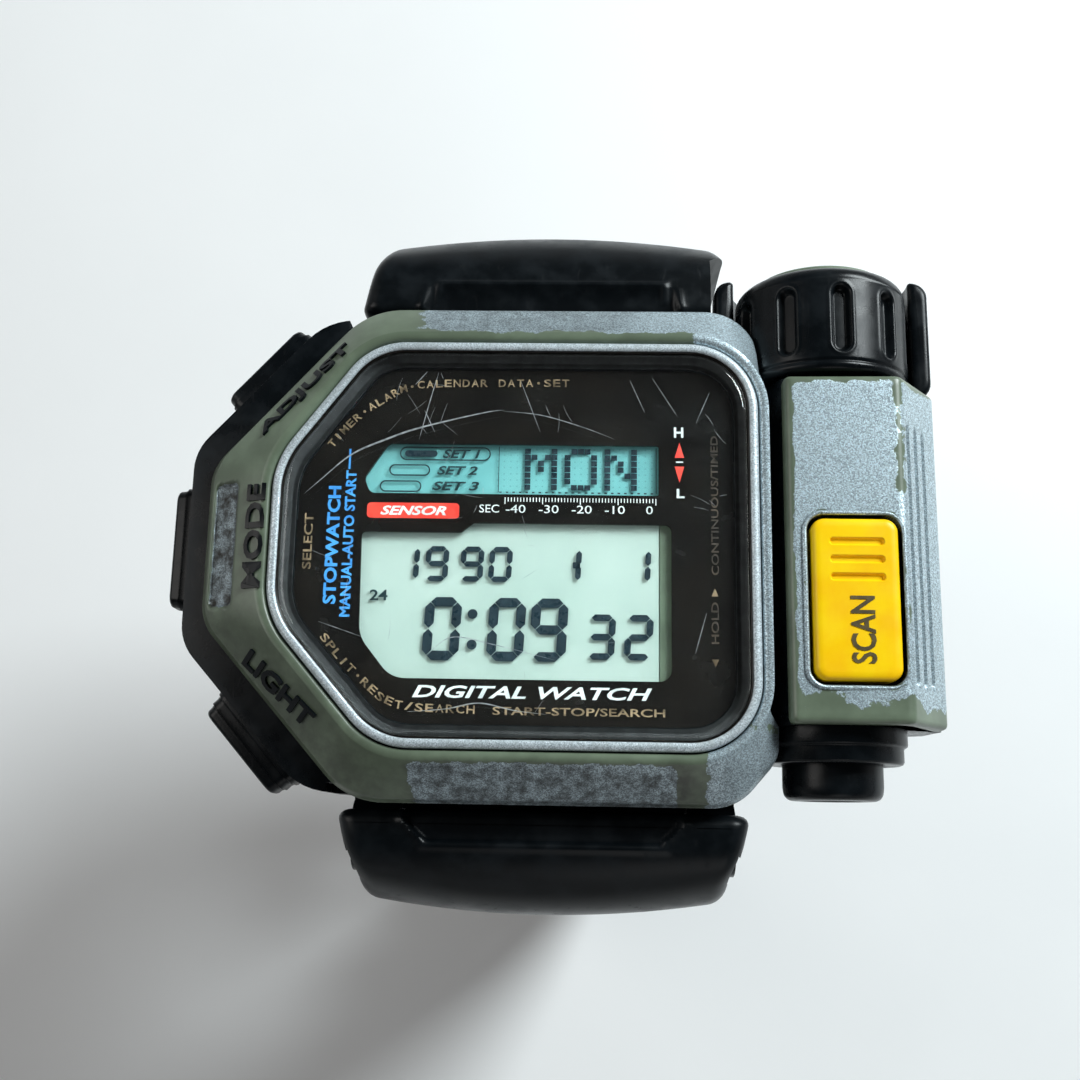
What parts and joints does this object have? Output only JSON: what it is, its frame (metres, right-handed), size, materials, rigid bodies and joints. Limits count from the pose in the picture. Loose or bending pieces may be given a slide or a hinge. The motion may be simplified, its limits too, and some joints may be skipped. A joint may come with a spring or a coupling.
{
  "type": "digital wristwatch with infrared thermometer",
  "caption": "Digital resin wristwatch with side buttons and an infrared thermometer tube with a yellow push bar, on a buckled strap.",
  "frame": {"origin": "on the caseback's outer face, on the strap's centre line", "axes": "+Z out of the dial, +Y towards twelve o'clock, +X towards three o'clock and the thermometer tube"},
  "size_m": [0.0601, 0.0563, 0.0738],
  "materials": {
    "black_resin": "satin",
    "strap_resin": "satin",
    "painted_resin": "metallic flake paint, worn",
    "olive_resin": "satin",
    "crystal_glass": "polished, scratched",
    "bright_metal": "satin",
    "mask_print": "gloss",
    "lcd_cell": "satin",
    "conductive_rubber": "matte",
    "lamp_glass": "clear",
    "ivory_plastic": "matte",
    "board": "satin",
    "chip_resin": "matte",
    "steel": "brushed",
    "brass": "satin",
    "flex_film": "gloss",
    "seal_rubber": "matte",
    "barrel_plastic": "matte",
    "lens_silicon": "polished",
    "yellow_plastic": "gloss"
  },
  "bodies": {
    "watch_head": {"case_body": "black_resin", "bezel": "painted_resin", "crystal": "crystal_glass", "crystal_ring": "bright_metal", "crystal_gasket": "seal_rubber", "dial_mask": "mask_print", "lcd_panel": "lcd_cell", "lcd_connectors": "conductive_rubber", "backlight_bulb": "lamp_glass", "module_frame": "ivory_plastic", "circuit_board": "board", "processor_chip": "chip_resin", "quartz_crystal": "steel", "coin_cells": "steel", "battery_clip": "brass", "module_screws": "steel", "flex_cable": "flex_film", "piezo_buzzer": "brass", "caseback": "steel", "caseback_gasket": "seal_rubber", "caseback_screws": "steel", "side_button_springs": "steel", "side_button_orings": "seal_rubber", "tube_body": "black_resin", "tube_cover": "painted_resin", "tube_back": "black_resin", "tube_back_screws": "steel", "sensor_guard": "black_resin", "lens_barrel": "barrel_plastic", "sensor_lens": "lens_silicon", "thermopile": "steel", "sensor_board": "board", "tube_oring": "seal_rubber", "tube_collar": "black_resin", "scan_spring": "steel", "scan_switch_board": "board", "start_spring": "steel", "spring_bar_12": "steel", "spring_bar_6": "steel"},
    "adjust_button": {"adjust_button": "black_resin", "adjust_clip": "steel"},
    "mode_button": {"mode_button": "black_resin", "mode_clip": "steel"},
    "light_button": {"light_button": "black_resin", "light_clip": "steel"},
    "scan_button": {"scan_button": "yellow_plastic"},
    "start_button": {"start_button": "black_resin"},
    "sensor_cap": {"sensor_cap": "black_resin", "cap_end_ring": "olive_resin"},
    "strap_12": {"strap_12": "strap_resin", "fixed_keeper": "strap_resin", "buckle_bar": "steel"},
    "strap_6": {"strap_6": "strap_resin"},
    "buckle_frame": {"buckle_frame": "steel"},
    "buckle_tongue": {"buckle_tongue": "steel"},
    "free_keeper": {"free_keeper": "strap_resin"}
  },
  "joints": [
    {"name": "adjust_press", "type": "slide", "parent": "watch_head", "child": "adjust_button", "axis": [0.7455, -0.6665, 0], "range_m": [0, 0.0009], "stiffness_N_per_m": 400, "springref_m": -0.002},
    {"name": "mode_press", "type": "slide", "parent": "watch_head", "child": "mode_button", "axis": [1, 0, 0], "range_m": [0, 0.0009], "stiffness_N_per_m": 400, "springref_m": -0.002},
    {"name": "light_press", "type": "slide", "parent": "watch_head", "child": "light_button", "axis": [0.7455, 0.6665, 0], "range_m": [0, 0.0009], "stiffness_N_per_m": 400, "springref_m": -0.002},
    {"name": "scan_press", "type": "slide", "parent": "watch_head", "child": "scan_button", "axis": [0, 0, -1], "range_m": [0, 0.0008], "stiffness_N_per_m": 400, "springref_m": -0.002},
    {"name": "start_press", "type": "slide", "parent": "watch_head", "child": "start_button", "axis": [0, 1, 0], "range_m": [0, 0.001], "stiffness_N_per_m": 400, "springref_m": -0.002},
    {"name": "cap_turn", "type": "hinge", "parent": "watch_head", "child": "sensor_cap", "pos_m": [0.0218, 0.0175, 0.0062], "axis": [0, 1, 0], "range_deg": [0, 90]},
    {"name": "strap_12_fold", "type": "hinge", "parent": "watch_head", "child": "strap_12", "pos_m": [0, 0.0215, 0.0035], "axis": [1, 0, 0], "range_deg": [0, 25]},
    {"name": "strap_6_fold", "type": "hinge", "parent": "watch_head", "child": "strap_6", "pos_m": [0, -0.0215, 0.0035], "axis": [-1, 0, 0], "range_deg": [0, 30]},
    {"name": "buckle_turn", "type": "hinge", "parent": "strap_12", "child": "buckle_frame", "pos_m": [0, -0.0088, -0.03804], "axis": [1, 0, 0], "range_deg": [-80, 10]},
    {"name": "tongue_turn", "type": "hinge", "parent": "buckle_frame", "child": "buckle_tongue", "pos_m": [0, -0.0088, -0.03804], "axis": [1, 0, 0], "range_deg": [0, 75]},
    {"name": "keeper_slide", "type": "slide", "parent": "strap_12", "child": "free_keeper", "axis": [0, -0.9397, -0.342], "range_m": [0, 0.003]}
  ]
}
